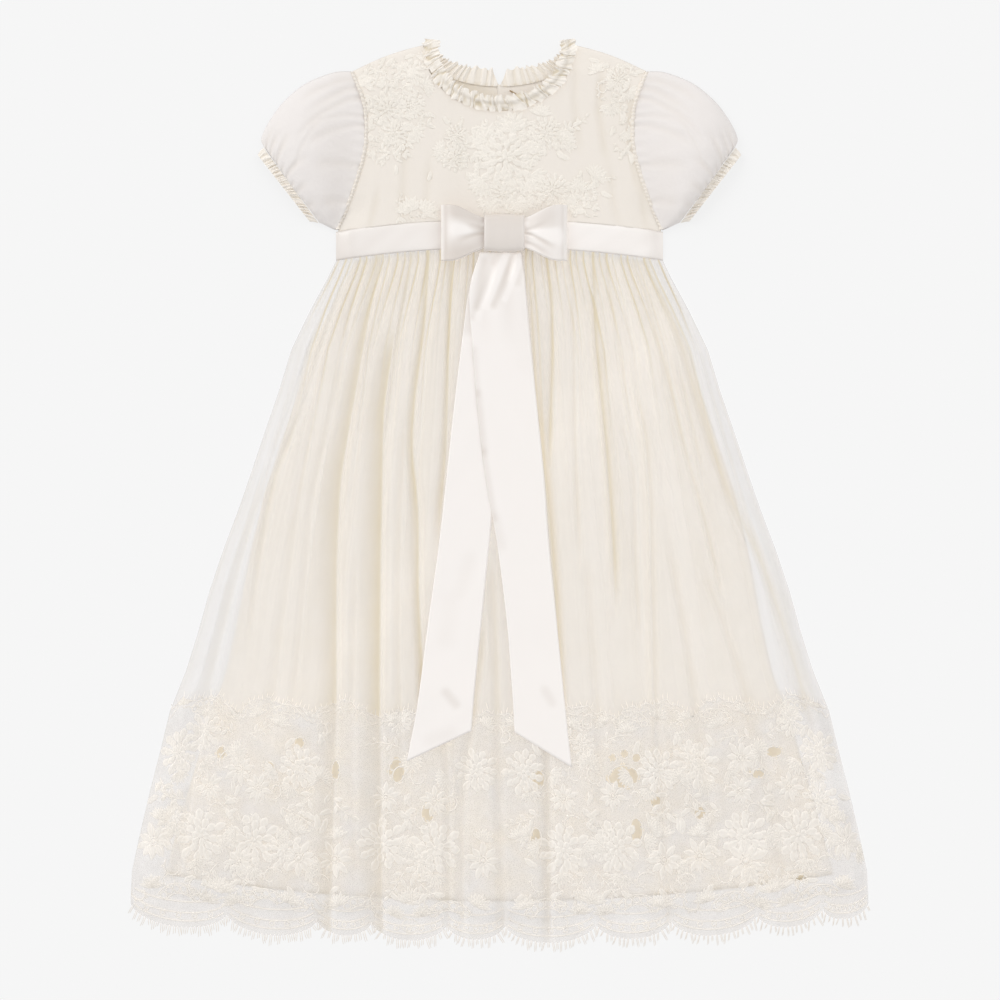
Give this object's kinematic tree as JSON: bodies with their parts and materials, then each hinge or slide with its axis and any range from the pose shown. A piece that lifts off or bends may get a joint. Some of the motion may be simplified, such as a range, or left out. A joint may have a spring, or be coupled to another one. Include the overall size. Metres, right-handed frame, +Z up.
{
  "type": "baby gown",
  "caption": "Short-sleeved baby gown laid flat: ruffled neck, puff sleeves, satin band and bow with long tails, sheer gathered skirt over a lining, scalloped lace hem.",
  "frame": {"origin": "on the surface that the gown lies on, under the middle of its outline", "axes": "+X across the gown to the right as seen from above with the neck up, +Y from the hem to the neck, +Z up from the surface"},
  "size_m": [0.5443, 0.671, 0.0194],
  "materials": {
    "sheer": "fine sheer net, matt",
    "satin": "smooth satin, soft gloss",
    "lining": "plain opaque lining, matt",
    "lace": "corded floral lace, matt",
    "bodice": "net over an opaque ground, matt",
    "hook": "bronzed wire"
  },
  "bodies": {
    "root": {"skirt_front": "sheer", "skirt_back": "sheer", "neck_ruffle_front": "sheer", "neck_ruffle_back_left": "sheer", "neck_ruffle_back_right": "sheer", "sleeve_left": "sheer", "sleeve_right": "sheer", "cuff_left": "sheer", "cuff_right": "sheer", "waistband_front": "satin", "waistband_back": "satin", "bow_loop_left": "satin", "bow_loop_right": "satin", "bow_knot": "satin", "bow_tail_left": "satin", "bow_tail_right": "satin", "lining_front": "lining", "lining_back": "lining", "lace_border_front": "lace", "lace_border_back": "lace", "hem_fringe_front": "lace", "hem_fringe_back": "lace", "lace_spray_centre": "lace", "lace_spray_centre_low": "lace", "lace_spray_centre_leaf": "lace", "lace_spray_left_upper": "lace", "lace_spray_left_lower": "lace", "lace_spray_right_upper": "lace", "lace_spray_right_side": "lace", "lace_spray_right_low": "lace", "lace_spray_left_low": "lace", "lace_spray_left_shoulder": "lace", "lace_spray_left_chest": "lace", "lace_spray_right_shoulder": "lace", "lace_spray_right_chest": "lace", "bodice_front": "bodice", "bodice_back_left": "bodice", "bodice_back_right": "bodice", "neck_hook": "hook"}
  },
  "joints": []
}
